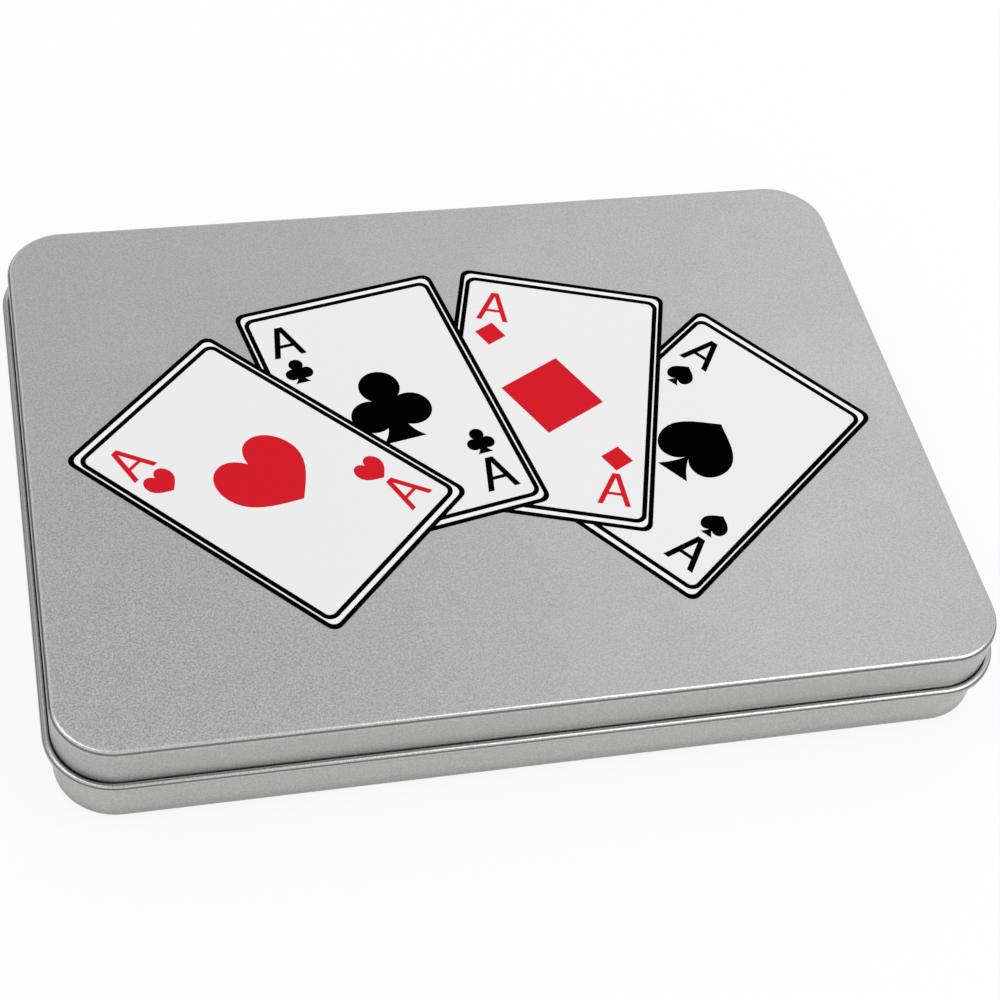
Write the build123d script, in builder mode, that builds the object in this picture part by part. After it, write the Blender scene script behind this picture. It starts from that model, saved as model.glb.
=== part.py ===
"""Hinged tinplate case for four decks of playing cards.

Millimetres.  +X runs across the width, +Y to the hinged back, +Z up.
The origin is on the table, under the middle of the closed case.
"""
from math import radians, tan
import os

from build123d import *

# closed case
WIDTH = 200.0  # across the lid's skirt
DEPTH = 146.0  # front to back across the lid's skirt
HEIGHT = 23.2
CORNER = 13.2  # plan radius of the skirt
SHEET = 0.3  # tinplate

# lid
LID_EDGE = 1.0  # outer radius between top panel and skirt
LID_CURL = 1.0  # outer radius of the rolled edge
LID_CURL_DROP = 10.75  # from the top panel down to the centre of the roll
CURL_TURN = 295.0  # degrees of roll, short of touching the wall again
SEAM_RISE = 0.45  # bottom of the groove between roll and skirt, above the roll's centre
PANEL_RING = 5.0  # width of the panel that is swept with the skirt

# base
FOOT_EDGE = 1.6  # outer radius under the wall
SLIP = 0.3  # gap between the lid's skirt and the base's neck
SEAT_GAP = 0.35  # gap under the lid's roll, and over the base's rim
RIM_CURL = 0.9  # outer radius of the inward roll on the neck
RIM_TURN = 180.0
FLOOR_RING = 5.0  # width of the flat ring the case stands on
FLOOR_RAMP = 0.8
FLOOR_LAP = 2.0  # width of the floor panel that is swept with the wall
FLOOR_RISE = 0.6  # the floor panel is pressed up inside the ring

# wired hinge
HINGE_SPREAD = 0.29  # each hinge, from the middle, as a share of the width
LUG_WIDTH = 12.0
LUG_SIDE_GAP = 0.5
LUG_TURN = 290.0  # degrees that the lug wraps round its wire
LUG_ROOT = 0.8  # how far the slits run below the shoulder
WIRE_RUN = 0.05  # radial running clearance in the lug
WIRE_GRIP = 9.0  # length held in the roll on each side of a lug
NOTCH_RISE = 1.7  # top of the lid's notch above the hinge line
WINDOW_RISE = 6.0  # top of the neck's window above the shoulder

# cards: poker size, 54 to a deck
CARD_LONG = 88.0
CARD_SHORT = 63.0
CARD_CORNER = 3.2
DECK_THICK = 16.2

# thermoformed tray
TRAY_SHEET = 0.6
TRAY_SIDE_GAP = 0.6  # inside the base's rolled rim
TRAY_TOP = 18.2
TRAY_EDGE = 0.4  # softened lip of the wells
WELL_GAP = 1.0  # round each deck
WELL_CORNER = 4.0
SCOOP_RADIUS = 12.0
SCOOP_FLOOR = 6.0

# worked out from the sizes above
curl_out = LID_CURL - SHEET
hinge_y = DEPTH / 2 + curl_out
hinge_z = HEIGHT - LID_CURL_DROP
wire_radius = LID_CURL - SHEET
shoulder_z = hinge_z - LID_CURL - SEAT_GAP
neck_step = SHEET + SLIP
bend_set = SHEET * tan(radians(22.5))  # keeps the sheet's thickness round a 45 degree bend
lug_radius = wire_radius + WIRE_RUN
lug_foot_z = shoulder_z - 2 * LUG_ROOT
rim_z = HEIGHT - SHEET - SEAT_GAP - RIM_CURL
rim_inset = neck_step + 2 * RIM_CURL
hinge_x = HINGE_SPREAD * WIDTH
notch_width = LUG_WIDTH + 2 * LUG_SIDE_GAP
wire_length = notch_width + 2 * WIRE_GRIP
floor_inset = FLOOR_RING + FLOOR_RAMP + FOOT_EDGE
panel_inset = floor_inset + FLOOR_LAP
tray_inset = rim_inset + TRAY_SIDE_GAP
tray_width = WIDTH - 2 * tray_inset
tray_depth = DEPTH - 2 * tray_inset
tray_floor = FLOOR_RISE + SHEET
well_long = CARD_LONG + 2 * WELL_GAP
well_short = CARD_SHORT + 2 * WELL_GAP
rib_x = (tray_width - 2 * well_long) / 3
rib_y = (tray_depth - 2 * well_short) / 3
pitch_x = well_long + rib_x
pitch_y = well_short + rib_y

# sections are drawn across the right-hand wall: x outwards from the skirt's face, y up
wall_section = Plane(origin=(WIDTH / 2, 0, 0), x_dir=(1, 0, 0), z_dir=(0, -1, 0))

os.makedirs("parts", exist_ok=True)

# the skirt's outer face in plan, which both drawn shells follow
with BuildSketch(Plane.XY) as plan:
    RectangleRounded(WIDTH, DEPTH, CORNER)
rail = plan.sketch.face().outer_wire()

# ---------------------------------------------------------------- lid, drawn and curled
with BuildPart() as lid_shell:
    with BuildSketch(wall_section) as lid_section:
        with BuildLine() as lid_line:
            Line((-PANEL_RING, HEIGHT), (-LID_EDGE, HEIGHT))
            CenterArc((-LID_EDGE, HEIGHT - LID_EDGE), LID_EDGE, 90, -90)
            Line((0, HEIGHT - LID_EDGE), (0, hinge_z + SEAM_RISE))
            roll = CenterArc((curl_out, hinge_z), LID_CURL, 180, CURL_TURN)
            Line((0, hinge_z + SEAM_RISE), roll @ 1)
            Line((-SHEET, hinge_z), (-SHEET, HEIGHT - LID_EDGE))
            Line((-SHEET, HEIGHT - LID_EDGE), (-LID_EDGE, HEIGHT - SHEET))
            Line((-LID_EDGE, HEIGHT - SHEET), (-PANEL_RING, HEIGHT - SHEET))
            Line((-PANEL_RING, HEIGHT - SHEET), (-PANEL_RING, HEIGHT))
        make_face()
    sweep(path=rail)
    with BuildSketch(Plane.XY.offset(HEIGHT - SHEET)):
        RectangleRounded(
            WIDTH - 2 * PANEL_RING + SHEET,
            DEPTH - 2 * PANEL_RING + SHEET,
            CORNER - PANEL_RING,
        )
    extrude(amount=SHEET)
    # along each straight side the roll is one sheet round a hollow, open at its seam
    for outward, along, reach, run in (
        (Vector(0, 1, 0), Vector(1, 0, 0), DEPTH / 2, WIDTH - 2 * CORNER),
        (Vector(0, -1, 0), Vector(-1, 0, 0), DEPTH / 2, WIDTH - 2 * CORNER),
        (Vector(1, 0, 0), Vector(0, -1, 0), WIDTH / 2, DEPTH - 2 * CORNER),
        (Vector(-1, 0, 0), Vector(0, 1, 0), WIDTH / 2, DEPTH - 2 * CORNER),
    ):
        start = Plane(origin=outward * reach - along * (run / 2), x_dir=outward, z_dir=along)
        with BuildSketch(start):
            with BuildLine():
                inside = CenterArc((curl_out, hinge_z), LID_CURL - SHEET, 180, CURL_TURN)
                seam = PolarLine(inside @ 1, SHEET, angle=180 + CURL_TURN)
                Line(seam @ 1, (0, (seam @ 1).Y))
                Line((0, (seam @ 1).Y), (0, hinge_z))
            make_face()
        extrude(amount=run, mode=Mode.SUBTRACT)
    # a notch in the rolled back edge for each hinge lug
    with BuildSketch(Plane.XY.offset(hinge_z - 2 * LID_CURL)):
        with Locations((-hinge_x, hinge_y), (hinge_x, hinge_y)):
            Rectangle(notch_width, 4 * LID_CURL)
    extrude(amount=2 * LID_CURL + NOTCH_RISE, mode=Mode.SUBTRACT)
lid_shell.part.label = "lid_shell"
export_step(lid_shell.part, "parts/lid_shell.step")

# ---------------------------------------------------------------- base, with its hinge lugs
with BuildPart() as base_shell:
    with BuildSketch(wall_section) as base_section:
        with BuildLine() as base_line:
            # outside: floor, ring, wall, shoulder, neck, rolled rim
            Line((-panel_inset, FLOOR_RISE), (-floor_inset, FLOOR_RISE))
            Line((-floor_inset, FLOOR_RISE), (-floor_inset + FLOOR_RAMP, 0))
            Line((-floor_inset + FLOOR_RAMP, 0), (-FOOT_EDGE, 0))
            CenterArc((-FOOT_EDGE, FOOT_EDGE), FOOT_EDGE, 270, 90)
            Line((0, FOOT_EDGE), (0, shoulder_z - neck_step))
            Line((0, shoulder_z - neck_step), (-neck_step, shoulder_z))
            Line((-neck_step, shoulder_z), (-neck_step, rim_z))
            rim = CenterArc((-neck_step - RIM_CURL, rim_z), RIM_CURL, 0, RIM_TURN)
            # inside, back down to the floor
            Line(rim @ 1, (-neck_step - SHEET, rim_z - RIM_CURL))
            Line((-neck_step - SHEET, rim_z - RIM_CURL), (-neck_step - SHEET, shoulder_z - bend_set))
            Line((-neck_step - SHEET, shoulder_z - bend_set), (-SHEET, shoulder_z - neck_step - bend_set))
            Line((-SHEET, shoulder_z - neck_step - bend_set), (-SHEET, FOOT_EDGE))
            Line((-SHEET, FOOT_EDGE), (-FOOT_EDGE, SHEET))
            Line((-FOOT_EDGE, SHEET), (-floor_inset + FLOOR_RAMP, SHEET))
            Line((-floor_inset + FLOOR_RAMP, SHEET), (-floor_inset, FLOOR_RISE + SHEET))
            Line((-floor_inset, FLOOR_RISE + SHEET), (-panel_inset, FLOOR_RISE + SHEET))
            Line((-panel_inset, FLOOR_RISE + SHEET), (-panel_inset, FLOOR_RISE))
        make_face()
    sweep(path=rail)
    with BuildSketch(Plane.XY.offset(FLOOR_RISE)):
        RectangleRounded(
            WIDTH - 2 * panel_inset + SHEET,
            DEPTH - 2 * panel_inset + SHEET,
            CORNER - panel_inset,
        )
    extrude(amount=SHEET)
    # windows in the neck, left where each lug was cut and bent out
    with BuildSketch(Plane.XY.offset(shoulder_z - LUG_ROOT)):
        with Locations((-hinge_x, DEPTH / 2), (hinge_x, DEPTH / 2)):
            Rectangle(notch_width, 4 * neck_step)
    extrude(amount=LUG_ROOT + WINDOW_RISE, mode=Mode.SUBTRACT)
    # each lug runs up from the wall and rolls outwards round its wire
    for lug_x in (-hinge_x, hinge_x):
        with BuildSketch(Plane.YZ.offset(lug_x - LUG_WIDTH / 2)):
            with BuildLine():
                Line((DEPTH / 2, lug_foot_z), (hinge_y - lug_radius, hinge_z))
                round_wire = CenterArc((hinge_y, hinge_z), lug_radius, 180, -LUG_TURN)
                PolarLine(round_wire @ 1, SHEET, angle=180 - LUG_TURN)
                CenterArc((hinge_y, hinge_z), lug_radius + SHEET, 180 - LUG_TURN, LUG_TURN)
                Line((hinge_y - lug_radius - SHEET, hinge_z), (DEPTH / 2 - SHEET, lug_foot_z))
                Line((DEPTH / 2 - SHEET, lug_foot_z), (DEPTH / 2, lug_foot_z))
            make_face()
        extrude(amount=LUG_WIDTH)
base_shell.part.label = "base_shell"
export_step(base_shell.part, "parts/base_shell.step")

# ---------------------------------------------------------------- hinge wires
with BuildPart() as hinge_wire_left:
    with BuildSketch(Plane.YZ.offset(-hinge_x - wire_length / 2)):
        with Locations((hinge_y, hinge_z)):
            Circle(wire_radius)
    extrude(amount=wire_length)
hinge_wire_left.part.label = "hinge_wire_left"
export_step(hinge_wire_left.part, "parts/hinge_wire_left.step")

with BuildPart() as hinge_wire_right:
    with BuildSketch(Plane.YZ.offset(hinge_x - wire_length / 2)):
        with Locations((hinge_y, hinge_z)):
            Circle(wire_radius)
    extrude(amount=wire_length)
hinge_wire_right.part.label = "hinge_wire_right"
export_step(hinge_wire_right.part, "parts/hinge_wire_right.step")

# ---------------------------------------------------------------- tray: four wells, four scoops
with BuildPart() as insert_tray:
    with BuildSketch(Plane.XY.offset(tray_floor)):
        RectangleRounded(tray_width, tray_depth, CORNER - tray_inset)
    extrude(amount=TRAY_TOP - tray_floor)
    with BuildSketch(Plane.XY.offset(tray_floor + TRAY_SHEET)):
        with GridLocations(pitch_x, pitch_y, 2, 2):
            RectangleRounded(well_long, well_short, WELL_CORNER)
    extrude(amount=TRAY_TOP, mode=Mode.SUBTRACT)
    with BuildSketch(Plane.XY.offset(SCOOP_FLOOR)):
        with Locations((0, -pitch_y / 2), (0, pitch_y / 2), (-pitch_x / 2, 0), (pitch_x / 2, 0)):
            Circle(SCOOP_RADIUS)
    extrude(amount=TRAY_TOP, mode=Mode.SUBTRACT)
    # formed from one sheet, so it is open underneath
    offset(
        amount=-TRAY_SHEET,
        openings=insert_tray.faces().sort_by(Axis.Z)[0],
        kind=Kind.INTERSECTION,
    )
    chamfer(insert_tray.faces().sort_by(Axis.Z)[-1].edges(), TRAY_EDGE)
insert_tray.part.label = "insert_tray"
export_step(insert_tray.part, "parts/insert_tray.step")

# ---------------------------------------------------------------- four decks of cards
for deck_name, deck_x, deck_y in (
    ("deck_front_left", -pitch_x / 2, -pitch_y / 2),
    ("deck_front_right", pitch_x / 2, -pitch_y / 2),
    ("deck_back_left", -pitch_x / 2, pitch_y / 2),
    ("deck_back_right", pitch_x / 2, pitch_y / 2),
):
    with BuildPart() as deck:
        with BuildSketch(Plane.XY.offset(tray_floor + TRAY_SHEET)):
            with Locations((deck_x, deck_y)):
                RectangleRounded(CARD_LONG, CARD_SHORT, CARD_CORNER)
        extrude(amount=DECK_THICK)
    deck.part.label = deck_name
    export_step(deck.part, f"parts/{deck_name}.step")
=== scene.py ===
"""Card game tin: finishes, printed lid and decks of cards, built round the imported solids."""
import math
import random

import bpy
import numpy as np
from bpy.props import FloatProperty, FloatVectorProperty, IntProperty, PointerProperty
from mathutils import Matrix, Vector
from mathutils.geometry import delaunay_2d_cdt


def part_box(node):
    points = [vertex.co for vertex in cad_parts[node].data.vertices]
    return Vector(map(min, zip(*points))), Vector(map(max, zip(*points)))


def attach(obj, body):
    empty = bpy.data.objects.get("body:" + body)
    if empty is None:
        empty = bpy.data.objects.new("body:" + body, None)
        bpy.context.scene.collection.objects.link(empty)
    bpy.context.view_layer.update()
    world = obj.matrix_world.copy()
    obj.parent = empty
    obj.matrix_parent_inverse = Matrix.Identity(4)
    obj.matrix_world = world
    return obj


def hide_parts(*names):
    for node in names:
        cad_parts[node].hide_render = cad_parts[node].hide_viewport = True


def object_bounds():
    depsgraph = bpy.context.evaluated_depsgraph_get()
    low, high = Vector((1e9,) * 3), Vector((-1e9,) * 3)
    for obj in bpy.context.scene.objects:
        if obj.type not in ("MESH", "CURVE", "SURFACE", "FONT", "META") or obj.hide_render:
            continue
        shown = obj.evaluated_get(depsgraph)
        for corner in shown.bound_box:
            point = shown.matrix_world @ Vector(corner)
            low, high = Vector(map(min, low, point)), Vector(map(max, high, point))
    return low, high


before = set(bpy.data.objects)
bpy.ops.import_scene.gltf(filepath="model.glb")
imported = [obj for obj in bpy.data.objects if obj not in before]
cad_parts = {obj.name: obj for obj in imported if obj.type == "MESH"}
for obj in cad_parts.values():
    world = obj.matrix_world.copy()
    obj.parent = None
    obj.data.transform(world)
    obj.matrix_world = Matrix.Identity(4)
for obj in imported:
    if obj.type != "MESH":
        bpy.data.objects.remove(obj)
CAD_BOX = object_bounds()

bl_info = {
    "name": "Card Tin",
    "version": (1, 0, 0),
    "blender": (4, 5, 0),
    "location": "View3D > Sidebar > Card Tin",
    "description": "Finishes and prints a hinged tin of playing cards",
    "category": "Object",
}

MM = 0.001
DECKS = ("deck_front_left", "deck_front_right", "deck_back_left", "deck_back_right")
COLOUR = {"subtype": "COLOR", "size": 3, "min": 0, "max": 1}
SHARE = {"subtype": "FACTOR", "min": 0, "max": 1}


# ---- settings
class ShellSettings(bpy.types.PropertyGroup):
    sheet: FloatProperty(
        name="Sheet", description="Thickness of the tinplate", unit="LENGTH", default=0.3 * MM
    )
    corner: FloatProperty(
        name="Corner radius", description="Rounding of the skirt, seen from above",
        unit="LENGTH", default=13.2 * MM,
    )
    edge: FloatProperty(
        name="Edge radius", description="Rounding between the lid's panel and its skirt",
        unit="LENGTH", default=1.25 * MM,
    )
    panel_sink: FloatProperty(
        name="Panel sink", description="How far the printed panel lies below the lid's edge",
        unit="LENGTH", default=0.03 * MM,
    )
    curl: FloatProperty(
        name="Roll radius", description="Outer radius of the lid's rolled edge",
        unit="LENGTH", default=1.0 * MM,
    )
    curl_drop: FloatProperty(
        name="Roll drop", description="From the top of the lid down to the middle of the roll",
        unit="LENGTH", default=10.75 * MM,
    )
    curl_turn: FloatProperty(
        name="Roll turn", description="How far the lid's edge is rolled round",
        subtype="ANGLE", default=math.radians(295),
    )
    foot: FloatProperty(
        name="Foot radius", description="Rounding under the base's wall",
        unit="LENGTH", default=1.6 * MM,
    )
    neck_step: FloatProperty(
        name="Neck step", description="How far the neck stands in from the wall",
        unit="LENGTH", default=0.6 * MM,
    )
    seat_gap: FloatProperty(
        name="Seat gap", description="Gap under the lid's roll, and over the base's rim",
        unit="LENGTH", default=0.35 * MM,
    )
    rim: FloatProperty(
        name="Rim radius", description="Outer radius of the inward roll on the neck",
        unit="LENGTH", default=0.9 * MM,
    )
    ring: FloatProperty(
        name="Standing ring", description="Width of the flat ring the base stands on",
        unit="LENGTH", default=5.0 * MM,
    )
    floor_rise: FloatProperty(
        name="Floor rise", description="How far the base's floor is pressed up inside the ring",
        unit="LENGTH", default=0.6 * MM,
    )
    hinge_spread: FloatProperty(
        name="Hinge spread", description="Each hinge, from the middle, as a share of the width",
        default=0.29,
    )
    lug_width: FloatProperty(
        name="Lug width", description="Width of each hinge lug", unit="LENGTH", default=12.0 * MM
    )
    lug_turn: FloatProperty(
        name="Lug turn", description="How far each lug wraps round its wire",
        subtype="ANGLE", default=math.radians(290),
    )
    corner_steps: IntProperty(
        name="Corner steps", description="Faces round each corner", default=18, min=4
    )


class TinplateSettings(bpy.types.PropertyGroup):
    colour: FloatVectorProperty(
        name="Tinplate", description="Colour of the bare lacquered tinplate",
        default=(0.478, 0.478, 0.474), **COLOUR,
    )
    # painted shade: the lid's up-facing panel gets a darker colour than the same tinplate on the walls
    varnish: FloatVectorProperty(
        name="Shaded panel", description="Colour of the metal under the panel's print varnish",
        default=(0.355, 0.355, 0.3533), **COLOUR,
    )
    # painted light: the base's plate is painted lighter than the lid's, though both are the same
    # tinplate
    base_gain: FloatProperty(
        name="Base painted light", description="How much lighter the base's plate is than the lid's",
        default=1.09, min=0,
    )
    wire: FloatVectorProperty(
        name="Wire", description="Colour of the hinge wires", default=(0.5, 0.5, 0.51), **COLOUR
    )
    grain: FloatProperty(
        name="Grain size", description="Size of one speckle of the matt tin coating",
        unit="LENGTH", default=0.21 * MM, min=0.05 * MM,
    )
    grain_depth: FloatProperty(
        name="Grain depth", description="Height of the speckle",
        unit="LENGTH", default=0.02 * MM, min=0,
    )
    roughness: FloatProperty(
        name="Roughness", description="Roughness of the satin lacquer", default=0.36, **SHARE
    )
    bend_roughness: FloatProperty(
        name="Bend roughness", description="Roughness where the die has polished the bends",
        default=0.16, **SHARE,
    )


class TraySettings(bpy.types.PropertyGroup):
    colour: FloatVectorProperty(
        name="Tray", description="Colour of the formed plastic",
        default=(0.018, 0.018, 0.019), **COLOUR,
    )


class PrintSettings(bpy.types.PropertyGroup):
    film: FloatProperty(
        name="Ink film", description="Thickness of the ink over the lid",
        unit="LENGTH", default=0.02 * MM, min=0.001 * MM,
    )
    card_width: FloatProperty(
        name="Card width", description="Short side of each printed card",
        unit="LENGTH", default=48.4 * MM,
    )
    card_height: FloatProperty(
        name="Card height", description="Long side of each printed card",
        unit="LENGTH", default=72.4 * MM,
    )
    spread: FloatProperty(
        name="Ink spread",
        description="How far the ink runs past its outlines, except round the red letters",
        unit="LENGTH", default=0.07 * MM, min=0,
    )
    black: FloatVectorProperty(
        name="Black ink", description="Colour of spades, clubs and the outlines",
        default=(0.0005, 0.0005, 0.0005), **COLOUR,
    )
    red: FloatVectorProperty(
        name="Red ink", description="Colour of hearts and diamonds",
        default=(0.657, 0.0125, 0.0230), **COLOUR,
    )
    face: FloatVectorProperty(
        name="Card face", description="Colour of the printed card faces",
        default=(0.84, 0.84, 0.84), **COLOUR,
    )
    border: FloatVectorProperty(
        name="Card border", description="Colour of the band between the two outlines",
        default=(0.885, 0.885, 0.885), **COLOUR,
    )


class DeckSettings(bpy.types.PropertyGroup):
    cards: IntProperty(name="Cards", description="Cards in each deck", default=54, min=1, max=108)
    corner: FloatProperty(
        name="Corner radius", description="Rounding of the card corners",
        unit="LENGTH", default=3.2 * MM,
    )
    scatter: FloatProperty(
        name="Scatter", description="How far a card may lie off the stack",
        unit="LENGTH", default=0.12 * MM, min=0,
    )
    seed: IntProperty(name="Seed", description="Order of the random shuffle", default=7)
    red_back: FloatVectorProperty(
        name="Red backs", description="Colour on the backs of the front left and back right decks",
        default=(0.50, 0.02, 0.03), **COLOUR,
    )
    blue_back: FloatVectorProperty(
        name="Blue backs", description="Colour on the backs of the other two decks",
        default=(0.02, 0.06, 0.30), **COLOUR,
    )


class StudioSettings(bpy.types.PropertyGroup):
    azimuth: FloatProperty(
        name="Azimuth", description="Camera's turn from the front, towards the right",
        subtype="ANGLE", default=math.radians(-17.946),
    )
    elevation: FloatProperty(
        name="Elevation", description="Camera's height angle",
        subtype="ANGLE", default=math.radians(50.192),
    )
    roll: FloatProperty(
        name="Roll", description="Camera's turn about its own view line",
        subtype="ANGLE", default=math.radians(8.7006),
    )
    distance: FloatProperty(
        name="Distance", description="From the lid to the camera", unit="LENGTH", default=0.452546
    )
    lens: FloatProperty(
        name="Lens", description="Focal length on a 36 mm sensor", default=75.473
    )
    shift: FloatProperty(
        name="Shift", description="Sideways shift of the frame, as a share of its width",
        default=0.05,
    )
    ambient: FloatProperty(
        name="Ambient", description="Strength of the even light from all sides",
        default=0.72, min=0,
    )
    floor_glow: FloatProperty(
        name="Floor glow",
        description="Share of plain white in the floor as the metal reflects it",
        default=0.36, **SHARE,
    )
    shadow: FloatProperty(
        name="Shadow", description="How much of the tin's shadow the white floor keeps",
        default=0.13, **SHARE,
    )


def own_settings(group):
    """Names of the settings that a property group adds."""
    return [name for name in group.bl_rna.properties.keys() if name not in ("rna_type", "name")]


# ---- node helpers
class Wiring:
    """A node tree, with short ways to add its nodes and join them."""

    def __init__(self, node_tree):
        self.nodes, self.links = node_tree.nodes, node_tree.links

    def add(self, kind, **settings):
        """A new shader node with the given settings."""
        node = self.nodes.new("ShaderNode" + kind)
        for label, value in settings.items():
            setattr(node, label, value)
        return node

    def feed(self, socket, value):
        """Gives a socket a number, a colour or the output of another node."""
        if isinstance(value, bpy.types.NodeSocket):
            self.links.new(value, socket)
        elif isinstance(value, tuple):
            socket.default_value = (*value[:3], 1.0)
        else:
            socket.default_value = value

    def where(self, space="Object"):
        return self.add("TexCoord").outputs[space]

    def split(self, vector):
        """X, Y and Z of a vector."""
        node = self.add("SeparateXYZ")
        self.feed(node.inputs[0], vector)
        return tuple(node.outputs)

    def math(self, operation, *values):
        node = self.add("Math", operation=operation)
        for socket, value in zip(node.inputs, values):
            self.feed(socket, value)
        return node.outputs[0]

    def times(self, first, *others):
        """The product of all the values."""
        for other in others:
            first = self.math("MULTIPLY", first, other)
        return first

    def ramp(self, value, low, high, to_low=0.0, to_high=1.0):
        """The value carried from the range low to high over to the range to_low to to_high."""
        node = self.add("MapRange")
        labels = ("Value", "From Min", "From Max", "To Min", "To Max")
        for label, number in zip(labels, (value, low, high, to_low, to_high)):
            self.feed(node.inputs[label], number)
        return node.outputs["Result"]

    def noise(self, vector, scale, detail=2.0, roughness=0.5, distortion=0.0):
        node = self.add("TexNoise")
        labels = ("Vector", "Scale", "Detail", "Roughness", "Distortion")
        for label, value in zip(labels, (vector, scale, detail, roughness, distortion)):
            self.feed(node.inputs[label], value)
        return node.outputs["Fac"]

    def mix(self, factor, first, second):
        """The first colour where the factor is 0, the second where it is 1."""
        node = self.add("Mix", data_type="RGBA")
        sockets = {socket.identifier: socket for socket in node.inputs}
        for label, value in (("Factor_Float", factor), ("A_Color", first), ("B_Color", second)):
            self.feed(sockets[label], value)
        return next(socket for socket in node.outputs if socket.identifier == "Result_Color")

    def place(self, name, **values):
        """Places a shared group, which is built at its first use, with values of its own."""
        group = bpy.data.node_groups.get(name) or GROUPS[name](name)
        node = self.add("Group", node_tree=group)
        for label, value in values.items():
            self.feed(node.inputs[label.replace("_", " ")], value)
        return node.outputs

    def finish(self, shader, colour, roughness, height, depth, strength=1.0):
        """Leads colour, roughness and relief into the shader."""
        relief = self.add("Bump")
        for socket, value in (
            (relief.inputs["Height"], height),
            (relief.inputs["Distance"], depth),
            (relief.inputs["Strength"], strength),
            (shader.inputs["Base Color"], colour),
            (shader.inputs["Roughness"], roughness),
            (shader.inputs["Normal"], relief.outputs["Normal"]),
        ):
            self.feed(socket, value)


def new_material(name):
    """A material, its wiring and its shader."""
    material = bpy.data.materials.new(name)
    material.use_nodes = True
    return material, Wiring(material.node_tree), material.node_tree.nodes["Principled BSDF"]


def new_group(name, inputs, outputs):
    """A shader node group with the inputs' defaults, a tuple where the input is a colour."""
    group = bpy.data.node_groups.new(name, "ShaderNodeTree")
    for label, value in inputs.items():
        kind = "NodeSocketColor" if isinstance(value, tuple) else "NodeSocketFloat"
        socket = group.interface.new_socket(name=label, in_out="INPUT", socket_type=kind)
        socket.default_value = value
    for label in outputs:
        kind = "NodeSocketColor" if label == "Colour" else "NodeSocketFloat"
        group.interface.new_socket(name=label, in_out="OUTPUT", socket_type=kind)
    source = group.nodes.new("NodeGroupInput")
    sink = group.nodes.new("NodeGroupOutput")
    return group, Wiring(group), source.outputs, sink.inputs


def speckle_group(name):
    """Fine matt grain with cloudy variation, for metal, formed plastic and ink."""
    inputs = {
        "Colour": (0.5, 0.5, 0.5, 1.0),
        "Grain Size": 0.3 * MM,
        "Grain Contrast": 0.06,
        "Cloud Contrast": 0.04,
        "Roughness": 0.4,
        "Roughness Spread": 0.06,
    }
    group, tree, source, sink = new_group(name, inputs, ("Colour", "Roughness", "Height"))

    def about(texture, contrast, middle):
        """The texture's swing about its mean, times the contrast, round the middle."""
        return tree.math("MULTIPLY_ADD", tree.math("SUBTRACT", texture, 0.5), contrast, middle)

    where = tree.where()
    per_metre = tree.math("DIVIDE", 0.5, source["Grain Size"])
    grain = tree.noise(where, per_metre, 3.0, 0.65)
    cloud = tree.noise(where, 9.0, 3.0, 0.55)
    mottle = tree.noise(where, 160.0, 2.0, 0.5)
    grain_gain = about(grain, source["Grain Contrast"], 1.0)
    cloud_gain = about(cloud, source["Cloud Contrast"], 1.0)
    scaled = tree.add("VectorMath", operation="SCALE")
    tree.feed(scaled.inputs[0], source["Colour"])
    tree.feed(scaled.inputs["Scale"], tree.times(grain_gain, cloud_gain))
    tree.feed(sink["Colour"], scaled.outputs[0])
    tree.feed(sink["Roughness"], about(mottle, source["Roughness Spread"], source["Roughness"]))
    tree.feed(sink["Height"], grain)
    return group


def handling_group(name):
    """Masks of hairline scratches and rubbed patches."""
    inputs = {"Scratches": 0.5, "Rubbing": 0.5}
    group, tree, source, sink = new_group(name, inputs, ("Scratch Mask", "Rub Mask"))
    where = tree.where()
    masks = []
    for turn, stretch in ((0.5, 26.0), (-0.9, 34.0)):
        spin = tree.add("Mapping")
        spin.inputs["Rotation"].default_value = (0.0, 0.0, turn)
        spin.inputs["Scale"].default_value = (stretch, 1.0, 1.0)
        tree.feed(spin.inputs["Vector"], where)
        streak = tree.noise(spin.outputs[0], 36.0, 2.0, 0.6, 0.2)
        masks.append(tree.ramp(streak, 0.70, 0.76))
    scratch = tree.math("MAXIMUM", *masks)
    tree.feed(sink["Scratch Mask"], tree.times(scratch, source["Scratches"]))
    patch = tree.noise(where, 22.0, 4.0, 0.6)
    rub = tree.ramp(patch, 0.52, 0.72)
    tree.feed(sink["Rub Mask"], tree.times(rub, source["Rubbing"]))
    return group


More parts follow.
